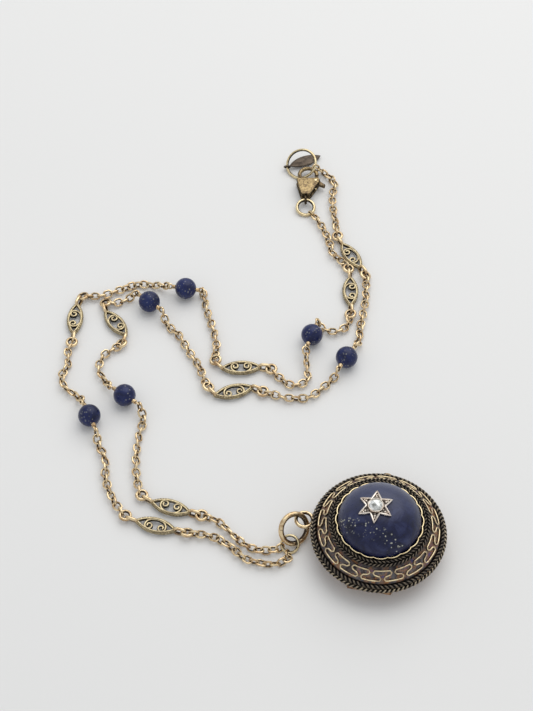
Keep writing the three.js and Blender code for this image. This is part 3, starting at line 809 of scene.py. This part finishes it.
def ribbon(line, thickness, low, high):
    """A closed strip of flat wire standing on edge along a line."""
    shape = bmesh.new()
    rows = []
    for i, point in enumerate(line):
        ahead, behind = line[(i + 1) % len(line)], line[i - 1]
        side = (ahead - behind).normalized().cross(Vector((0, 0, 1))) * thickness / 2
        rows.append([shape.verts.new(point + offset + Vector((0, 0, height)))
                     for offset, height in ((side, low), (side, high), (-side, high), (-side, low))])
    for here, following in zip(rows, rows[1:] + rows[:1]):
        for k in range(4):
            shape.faces.new((here[k], here[(k + 1) % 4], following[(k + 1) % 4], following[k]))
    bmesh.ops.recalc_face_normals(shape, faces=shape.faces)
    return shape


def scroll(side):
    """Half of a link's inner wire: from its lower middle out, up and round into a spiral."""
    line = [Vector((0, -1.42, 0.95)), Vector((side * 0.9, -1.33, 0.95)), Vector((side * 1.7, -0.98, 0.95)),
            Vector((side * 2.2, -0.36, 0.95))]
    turns = 24
    for i in range(turns + 1):
        angle = math.radians(400 * i / turns)
        radius = 0.95 - 0.62 * (i / turns) ** 0.85
        line.append(Vector((side * (1.36 + radius * math.cos(angle)), 0.36 + radius * math.sin(angle), 0.95)))
    return line


def filigree_link(name):
    (x, y), turn = FILIGREE[name]
    rim = twisted_rope(navette(LINK_HALF - 0.2, LINK_HALF_WIDTH - 0.26), 0.27, 34, 1, True, 1, 8)
    placed(rim, (0, 0, 0.95))
    low_rim = twisted_rope(navette(LINK_HALF - 0.2, LINK_HALF_WIDTH - 0.3), 0.24, 34, 1, True, 1, 8)
    placed(low_rim, (0, 0, 0.58))
    strip = ribbon(navette(LINK_HALF - 0.6, LINK_HALF_WIDTH - 0.5, 32), 0.28, 0.4, 1.34)
    soften(strip, 0.06, 1, [edge for edge in strip.edges if edge.calc_face_angle(0) > 1])
    # Painted shade: the strip is darkened below its top edge.
    hollow_by(strip, lambda co: (1.28 - co.z) / 0.1)
    curls = wires([scroll(-1), scroll(1)], 0.26, sides=3, smooth=True)
    deep_curls = placed(wires([scroll(-1), scroll(1)], 0.25, sides=3, smooth=True), (0, 0, -0.34))
    added(curls, deep_curls)
    # Painted shade: the curls are darkened below their tops.
    hollow_by(curls, lambda co: (1.15 - co.z) / 0.1)
    shape = added(rim, strip, curls, low_rim)
    if name in ("f1", "f4", "f6", "f7"):
        placed(shape, turn=Quaternion((0, 0, 1), math.pi))
    placed(shape, (x, y, 0), Quaternion((0, 0, 1), math.radians(turn)))
    number = LINK_NUMBER[name]
    return piece("pierced_filigree_%d" % number, shape, FILIGREE_METAL, ROOT, ["filigree_link_%d" % number],
                 crease=50)


def build_chain():
    filigree = {name: filigree_link(name) for name in FILIGREE}
    beads = {name: lapis_bead(name, number) for name, number in BEAD_NUMBER.items()}
    for run, parts in RUNS.items():
        made, extras, centreline = cable_run(run)
        if len(parts) == 3:
            continue


# ---- the case: pieces -------------------------------------------------------------------------
LIP = 0.12


def case_piece(name, shape, material, body, nodes, crease=40):
    return piece(name, in_case(shape), material, body, nodes, crease)


def lathe(name, profile, material, body, nodes, ease=LIP, steps=128, rule=None):
    ends_on_axis = profile[0][0] == 0
    shape = turned(eased(profile, ease, 3, not ends_on_axis), steps)
    if rule:
        hollow_by(shape, rule)
    return case_piece(name, shape, material, body, nodes)


def radius_of(point):
    return math.hypot(point.x, point.y)


HINGE_REACH = 13.0
HINGE_HEIGHT = 3.5


def knuckle(name, length, middle, foot, body, node):
    tube = turned(eased([(0.28, -length / 2), (0.5, -length / 2), (0.5, length / 2), (0.28, length / 2)], 0.06), 32)
    placed(tube, turn=Quaternion((0, 1, 0), math.pi / 2))
    placed(tube, (middle, -HINGE_REACH, HINGE_HEIGHT))
    y, z, depth, height = foot
    added(tube, block((length, depth, height), (middle, y, z), 0.04))
    hollow_by(tube, lambda co: 0.5)
    return case_piece(name, tube, COPPERY, body, [node])


def build_back():
    profile = eased([(0, 0), (6, 0), (9.5, 0.7), (11.6, 1.9), (12.6, 3.2), (12.6, 4.05), (12.1, 4.05),
                     (12.1, 3.3), (11.2, 2.3), (9.2, 1.2), (6, 0.5), (0, 0.5)], 0.9, 3, False)
    shell = turned(profile, 128)
    for vert in shell.verts:
        if abs(vert.co.x) < 4.9 and vert.co.y < 0 and vert.co.z > 2.8:
            vert.co.y = max(vert.co.y, -12.36)
    # Painted shade: the shell is darkened above 3.3 mm, under the cover's edge.
    hollow_by(shell, lambda co: 0.5 if co.z > 3.3 else 0)
    case_piece("case_back", shell, COPPERY, ROOT, ["back_shell"])
    rim = turned(eased([(12.65, 3.05), (13.3, 3.05), (13.3, 4.05), (12.65, 4.05)], LIP), 128, math.radians(44))
    case_piece("case_back_rim", hollow_by(rim, lambda co: 0.15), COPPERY, ROOT, ["back_rim"])
    knuckle("hinge_knuckle_left", 2.9, -3.05, (-12.83, 3.0, 0.34, 0.3), ROOT, "back_knuckle_left")
    knuckle("hinge_knuckle_right", 2.9, 3.05, (-12.83, 3.0, 0.34, 0.3), ROOT, "back_knuckle_right")
    pin = turned(eased([(0, -4.65), (0.23, -4.65), (0.23, 4.65), (0, 4.65)], 0.08, 3, False), 24)
    placed(pin, turn=Quaternion((0, 1, 0), math.pi / 2))
    placed(pin, (0, -HINGE_REACH, HINGE_HEIGHT))
    case_piece("hinge_wire", pin, DARK_GOLD, ROOT, ["hinge_pin"])
    lathe("back_blank_card", [(0, 2.65), (10.9, 2.65), (10.9, 2.85), (0, 2.85)], CARD, ROOT, ["back_picture"],
          0.05)
    lathe("back_window", [(0, 2.95), (11.2, 2.95), (11.2, 3.45), (0, 3.45)], GLASS, ROOT, ["back_glass"],
          0.1)
    lathe("back_window_frame", [(10.5, 3.55), (11.3, 3.55), (11.3, 3.3), (11.9, 3.3), (11.9, 3.95), (10.5, 3.95)],
          PALE, ROOT, ["back_picture_frame"])


def key_pattern():
    """One closed wire whose outer and inner runs overlap, so that each T hooks its neighbour."""
    steps = [(-0.36, 1), (0.36, 1), (0.43, 0.77), (0.36, 0.56), (0.15, 0.44), (0.07, 0.23),
             (0.14, 0), (0.86, 0), (0.93, 0.23), (0.85, 0.44), (0.64, 0.56), (0.57, 0.77)]
    repeats = 16
    bends = [(repeat + share, across) for repeat in range(repeats) for share, across in steps]
    line = []
    for i, (share, across) in enumerate(bends):
        turn, following = (bends[(i + 1) % len(bends)][0] - share), bends[(i + 1) % len(bends)][1]
        turn = (turn + repeats / 2) % repeats - repeats / 2
        for k in range(4):
            angle = 2 * math.pi * (share + turn * k / 4) / repeats
            reach = across + (following - across) * k / 4
            radius = 11.0 + 1.55 * reach
            line.append(Vector((radius * math.cos(angle), radius * math.sin(angle), 7.8 - 1.42 * reach)))
    shape = wires([line], 0.16, closed=True, sides=3, smooth=True)
    # Painted shade: the wire is darkened on its underside, towards the shoulder it lies on.
    return hollow_by(shape, lambda co: -(co.z - 7.8 + (radius_of(co) - 11.0) * 0.916) / 0.14)


def scalloped_bezel():
    """A thin wall round the stone whose edge swells outward in lobes."""
    profile = eased([(8.64, 8.78), (8.86, 8.78), (8.98, 9.44), (8.9, 9.52), (8.72, 9.5)], 0.05)
    shape = turned(profile, 240)
    for vert in shape.verts:
        lobe = abs(math.sin(10 * math.atan2(vert.co.y, vert.co.x)))
        share = min(1, max(0, (vert.co.z - 8.9) / 0.5))
        swell = 1 + (0.3 * lobe ** 0.7 - 0.07) * share / radius_of(vert.co)
        vert.co.x *= swell
        vert.co.y *= swell
    # Painted shade: the wall is darkened below its top edge, which is left light.
    return hollow_by(shape, lambda co: (9.42 - co.z) / 0.1)


DOME_RADIUS = 8.58


def dome_height(reach):
    return 9.15 + 5.85 * math.sqrt(max(0, 1 - (reach / DOME_RADIUS) ** 2))


def build_stone():
    profile = [(0, 8.75), (DOME_RADIUS, 8.75)]
    rows = 30
    for i in range(rows + 1):
        angle = math.pi / 2 * i / rows
        profile.append((DOME_RADIUS * math.cos(angle) if i < rows else 0, 9.15 + 5.85 * math.sin(angle)))
    case_piece("lapis_cabochon", turned(profile, 120), DOME_LAPIS, COVER, ["lapis_dome"])


STAR_CENTRE = Vector((-1.11, -0.31, 0))
STAR_TURN = math.radians(93)


def star_point(reach, angle, lift):
    """A place on the star, this far above the stone's surface."""
    place = STAR_CENTRE + Vector((reach * math.cos(angle), reach * math.sin(angle), 0))
    place.z = dome_height(radius_of(place)) + lift
    return place


def build_star():
    outline = []
    for i in range(12):
        angle, following = STAR_TURN + math.pi * i / 6, STAR_TURN + math.pi * (i + 1) / 6
        reach, after = (3.8, 1.95) if i % 2 == 0 else (1.95, 3.8)
        corner = Vector((reach * math.cos(angle), reach * math.sin(angle)))
        next_corner = Vector((after * math.cos(following), after * math.sin(following)))
        outline += [corner.lerp(next_corner, k / 5) for k in range(5)]

    def above(point, scale, lift):
        point = point * scale
        return star_point(point.length, math.atan2(point.y, point.x), lift)

    rim = wires([[above(point, 0.97, 0.42) for point in outline]], 0.2, closed=True, sides=2)
    hollow_by(rim, lambda co: -0.4)
    plate = bmesh.new()
    rows = [[plate.verts.new(above(point, scale, lift)) for point in outline]
            for scale, lift in ((1.0, -0.1), (1.0, 0.4), (0.8, 0.2), (0.5, 0.34))]
    for lower, upper in zip(rows, rows[1:]):
        for i in range(len(outline)):
            k = (i + 1) % len(outline)
            plate.faces.new((lower[i], lower[k], upper[k], upper[i]))
    plate.faces.new(rows[-1])
    plate.faces.new(list(reversed(rows[0])))
    bmesh.ops.recalc_face_normals(plate, faces=plate.faces)
    # Partly oxide, partly painted shade: the recessed plate inside the raised rim is darkened.
    hollow_by(plate, lambda co: 0.7)
    shape = added(rim, plate)
    for i in range(6):
        angle = STAR_TURN + math.pi * i / 3
        for reach, size in ((2.72, 0.19), (2.3, 0.24)):
            grain = bmesh.new()
            bmesh.ops.create_uvsphere(grain, u_segments=12, v_segments=8, radius=size)
            added(shape, hollow_by(placed(grain, star_point(reach, angle, 0.32)), lambda co: 0.2))
    collet = turned(eased([(1.3, 14.7), (1.75, 14.7), (1.62, 15.68), (1.52, 15.84), (1.4, 15.7)], 0.06), 48)
    for vert in collet.verts:
        if vert.co.z > 15.4:
            vert.co.z += 0.07 * math.cos(6 * math.atan2(vert.co.y, vert.co.x) + 1.2)
    # Painted shade: the collet is darker low down and light at its top edge.
    hollow_by(collet, lambda co: (15.4 - co.z) / 0.4)
    added(shape, placed(collet, STAR_CENTRE))
    case_piece("star_setting", shape, STAR_METAL, COVER, ["star_mount"])
    stone = bmesh.new()
    levels = [(1.4, 15.5, 12, 0), (1.42, 15.72, 12, 0), (0.95, 16.12, 6, 0.26)]
    made = []
    for reach, height, count, shift in levels:
        made.append([stone.verts.new((reach * math.cos(shift + 2 * math.pi * i / count),
                                      reach * math.sin(shift + 2 * math.pi * i / count), height))
                     for i in range(count)])
    bmesh.ops.convex_hull(stone, input=stone.verts[:] + [stone.verts.new((0, 0, 16.36))])
    bmesh.ops.recalc_face_normals(stone, faces=stone.faces)
    placed(stone, STAR_CENTRE)
    case_piece("faceted_stone", stone, ROSE, COVER, ["star_stone"], crease=3)


def build_cover():
    knuckle("hinge_knuckle_cover", 3.0, 0, (-13.0, 4.02, 0.36, 0.16), COVER, "cover_knuckle")
    lathe("cover_edge", [(12.55, 4.15), (13.3, 4.15), (13.3, 4.9), (12.55, 4.9)], ANTIQUE, COVER, ["cover_rim"],
          rule=lambda co: 0.6)
    lathe("cover_shell", [(0, 8.1), (9.6, 7.9), (10.9, 6.9), (12.4, 5.6), (12.5, 4.95), (13, 4.95), (13, 5.45),
                          (12.75, 5.92), (11.23, 7.32), (10.2, 8.3), (8.6, 8.7), (0, 8.7)],
          SHOULDER, COVER, ["front_shell"], 0.15, 192, shoulder_hollow)
    lathe("cover_window_frame", [(10.5, 4.2), (11.9, 4.2), (11.9, 5.3), (11.3, 5.3), (11.3, 4.55), (10.5, 4.55)],
          PALE, COVER, ["front_picture_frame"])
    lathe("cover_window", [(0, 4.62), (11.2, 4.62), (11.2, 5.1), (0, 5.1)], GLASS, COVER, ["front_glass"],
          0.1)
    lathe("cover_blank_card", [(0, 5.2), (10.9, 5.2), (10.9, 5.4), (0, 5.4)], CARD, COVER, ["front_picture"],
          0.05)
    for name, radius, wire, height, twists, hand in (
            ("border_rope_outer", 13.86, 0.45, 4.68, 46, 1),
            ("border_rope_inner", 13.36, 0.45, 5.42, 44, -1),
            ("bezel_rope_outer", 10.24, 0.34, 8.7, 38, 1),
            ("bezel_rope_inner", 9.57, 0.34, 8.92, 36, -1)):
        rope = twisted_rope(circle(radius, height), wire, twists, hand, True, 3, 14)
        metal = ROPE_GOLD if name == "border_rope_outer" else DARK_ROPE
        case_piece("twisted_" + name, rope, metal, COVER, [name], 60)
    case_piece("key_wire", key_pattern(), KEY_GOLD, COVER, ["key_pattern_wire"], 60)
    case_piece("lobed_bezel", scalloped_bezel(), PALE, COVER, ["scalloped_bezel"], 50)
    half_disc = [(1.6 * math.cos(math.pi * i / 16), 13.4 + 1.6 * math.sin(math.pi * i / 16)) for i in range(17)]
    case_piece("thumb_catch", slab(half_disc, 0.35, 3.82, 0.08), DARK_GOLD, COVER, ["thumb_lip"])


def shoulder_hollow(place):
    """Painted shade under the ropes, at the two edges of the shoulder."""
    reach = radius_of(place)
    return max((10.55 - reach) / 0.4, (reach - 12.7) / 0.25)


# ---- the rings and the clasp ------------------------------------------------------------------
def build_rings():
    angle = math.radians(167)
    outward = Vector((math.cos(angle), math.sin(angle), 0))
    bail = wire_ring(1.75, 0.4, 48, 14)
    placed(bail, outward * 15.75 + Vector((0, 0, 3.6)))
    foot = block((0.9, 1.6, 0.6), (13.75, 0, 3.6), 0.1)
    added(bail, placed(foot, turn=Quaternion((0, 0, 1), angle)))
    piece("bail", bail, ANTIQUE, ROOT, ["bail_loop"])
    for name, node, wire, material, slot, gap in (
            ("pendant_jump_ring", "pendant_ring", 0.57, ANTIQUE, "gold", 0.08),
            ("strand_jump_ring", "strand_ring", 0.3, PALE, "pale_gold", 0.06),
            ("clasp_jump_ring", "clasp_ring", 0.4, PALE, "pale_gold", 0.12),
            ("large_end_ring", "end_ring", 0.34, PALE, "pale_gold", 0.0)):
        centre, axis, radius = RINGS.get(node, ((-17.5, 1.7, 2.96), (0.483, -0.595, 0.643), 3.15))
        ring = wire_ring(radius, wire, 72, 16, gap=gap)
        placed(ring, turn=Quaternion((0, 0, 1), math.radians(150)))
        piece(name, placed(ring, centre, facing(axis)), material, ROOT, [node])


def arc(centre, radius, start, end, steps):
    return [(centre[0] + radius * math.cos(math.radians(start + (end - start) * i / steps)),
             centre[1] + radius * math.sin(math.radians(start + (end - start) * i / steps)))
            for i in range(steps + 1)]


CLASP_MIDDLE = 1.5


def build_clasp():
    wedge = [(-15.9, 103), (-14.7, 97.6), (-12.5, 97.6), (-9.8, 102.4), (-10.2, 103.1), (-13.6, 103.1)]
    cheek = [tuple(point) for point in eased(wedge, 0.5)]
    shape = slab(cheek, 0.68, CLASP_MIDDLE + 0.52, 0.22, 3)
    added(shape, slab(cheek, 0.68, CLASP_MIDDLE - 1.2, 0.22, 3))
    web = [(-15.6, 102.9), (-14.5, 97.9), (-12.7, 97.9), (-12.0, 99.2), (-12.75, 100.6), (-12.75, 102.9)]
    added(shape, slab(web, 1.2, CLASP_MIDDLE - 0.6))
    hook = []
    for i, (x, y) in enumerate(arc((-12.8, 105.1), 2.15, 238, -8, 36)):
        hook.append(Vector((x, y, CLASP_MIDDLE)))
    bar = wires([hook], 0.5, sides=4)
    for vert in bar.verts:
        tip = max(0, 1 - (vert.co - hook[-1]).length / 2.2)
        vert.co = vert.co.lerp(Vector((vert.co.x, vert.co.y, CLASP_MIDDLE)), 0.3 * tip)
    added(shape, bar)
    eye = wire_ring(0.85, 0.3, 36, 12)
    added(shape, placed(eye, (-13.6, 96.5, CLASP_MIDDLE), Quaternion((0, 1, 0), math.pi / 2)))
    # Painted shade: the clasp is darker on its sides and lower parts than on its top face and hook.
    hollow_by(shape, lambda co: 0.6 if co.z < CLASP_MIDDLE + 1.12 and co.y < 103.3 else 0.36)
    piece("clasp_hook_and_case", shape, CLASP_METAL, ROOT, ["clasp_body"])
    lever = [(-11.7, 101.6), (-11.2, 101.4), (-9.9, 101.2), (-8.8, 100.6), (-8.5, 101.4), (-9.7, 102.4),
             (-10.1, 103.4), (-10.35, 104.5), (-11, 104.5), (-11.2, 103), (-11.8, 102.4)]
    plate = slab([tuple(point) for point in eased(lever, 0.3)], 0.8, CLASP_MIDDLE - 0.4, 0.14, 3)
    hollow_by(plate, lambda co: 0.5)
    # The lever is made dark all over with the dark gold.
    piece("thumb_lever", plate, DARK_GOLD, TRIGGER, ["clasp_lever"])
    rivet = turned(eased([(0, 0.28), (0.28, 0.28), (0.28, 2.66), (0.4, 2.72), (0.3, 2.86), (0, 2.9)], 0.04, 3, False), 24)
    placed(rivet, (-11, 102.1, 0))
    piece("lever_rivet", rivet, PALE, ROOT, ["clasp_pivot_pin"])
    leaf = slab([(-12.4, 101), (-11, 99.9), (-10.8, 100.1), (-12.2, 101.2)], 0.6, CLASP_MIDDLE - 0.3, 0.04)
    piece("leaf_spring", leaf, PALE, ROOT, ["clasp_spring"])


def build_tag():
    outline = [tuple(point.xy) for point in navette(4.5, 1.6, 28)]
    plate = slab(outline, 0.42, -0.2, 0.12, 3)
    placed(plate, turn=Quaternion((0, 1, 0), math.radians(3.9)))
    heading = flat_turn(27.5)
    placed(plate, Vector((-18, 108.3, 0.75)) + heading * 5.1, Quaternion((0, 0, 1), math.radians(27.5)))
    loop = placed(wire_ring(0.75, 0.2, 32, 10), (-18, 108.3, 1.04), facing((0.02, -0.9, -0.43)))
    piece("plain_tag", added(plate, loop), TAG_METAL, ROOT, ["blank_tag"])


def build_table():
    shape = bmesh.new()
    bmesh.ops.create_grid(shape, x_segments=2, y_segments=2, size=0.6)
    bmesh.ops.translate(shape, vec=(0, 0.04, -0.00006), verts=shape.verts)
    mesh = bpy.data.meshes.new("table")
    shape.to_mesh(mesh)
    shape.free()
    mesh.materials.append(table_top())
    table = bpy.data.objects.new("table", mesh)
    bpy.context.collection.objects.link(table)


set_camera()
ANTIQUE = worn_and_shaded_metal("antique_gold", (0.86, 0.68, 0.42), (0.52, 0.35, 0.19), (0.06, 0.038, 0.026), 0.24)
COPPERY = worn_and_shaded_metal("coppery_gold", (0.5, 0.29, 0.15), (0.28, 0.16, 0.1), (0.03, 0.02, 0.016), 0.34)
DARK_GOLD = worn_and_shaded_metal("oxidised_gold", (0.32, 0.23, 0.13), (0.12, 0.09, 0.065), (0.02, 0.016, 0.012), 0.36)
ROPE_GOLD = worn_and_shaded_metal("rope_gold", (0.4, 0.335, 0.24), (0.17, 0.14, 0.11), (0.03, 0.026, 0.024), 0.32)
DARK_ROPE = worn_and_shaded_metal("dark_rope", (0.17, 0.14, 0.105), (0.08, 0.07, 0.062), (0.02, 0.018, 0.019), 0.4)
FILIGREE_METAL = worn_and_shaded_metal("filigree_metal", (0.66, 0.55, 0.34), (0.42, 0.34, 0.22), (0.014, 0.011, 0.009), 0.28)
CLASP_METAL = worn_and_shaded_metal("clasp_metal", (0.42, 0.31, 0.16), (0.19, 0.135, 0.08), (0.015, 0.012, 0.01), 0.33)
TAG_METAL = worn_and_shaded_metal("tag_metal", (0.14, 0.11, 0.085), (0.07, 0.055, 0.045), (0.02, 0.016, 0.014), 0.42)
PALE = worn_and_shaded_metal("pale_gold", (0.84, 0.7, 0.43), (0.66, 0.52, 0.3), (0.03, 0.022, 0.015), 0.22)
KEY_GOLD = worn_and_shaded_metal("key_gold", (0.8, 0.66, 0.42), (0.44, 0.33, 0.22), (0.03, 0.024, 0.02), 0.3)
STAR_METAL = worn_and_shaded_metal("star_metal", (0.92, 0.84, 0.75), (0.74, 0.63, 0.54), (0.06, 0.05, 0.045), 0.2)
SHOULDER = patinated_shoulder()
DOME_LAPIS = lapis("dome_lapis", (0.002, 0.003, 0.018), (0.006, 0.009, 0.048), (0.028, 0.036, 0.1), band=True)
BEAD_LAPIS = lapis("bead_lapis", (0.003, 0.006, 0.035), (0.007, 0.014, 0.08), (0.014, 0.026, 0.12))
GLASS = glass("window_glass")
ROSE = rose_cut()
CARD = picture_card()
build_chain()
build_back()
build_cover()
build_stone()
build_star()
build_rings()
build_clasp()
build_tag()
build_table()
set_light()
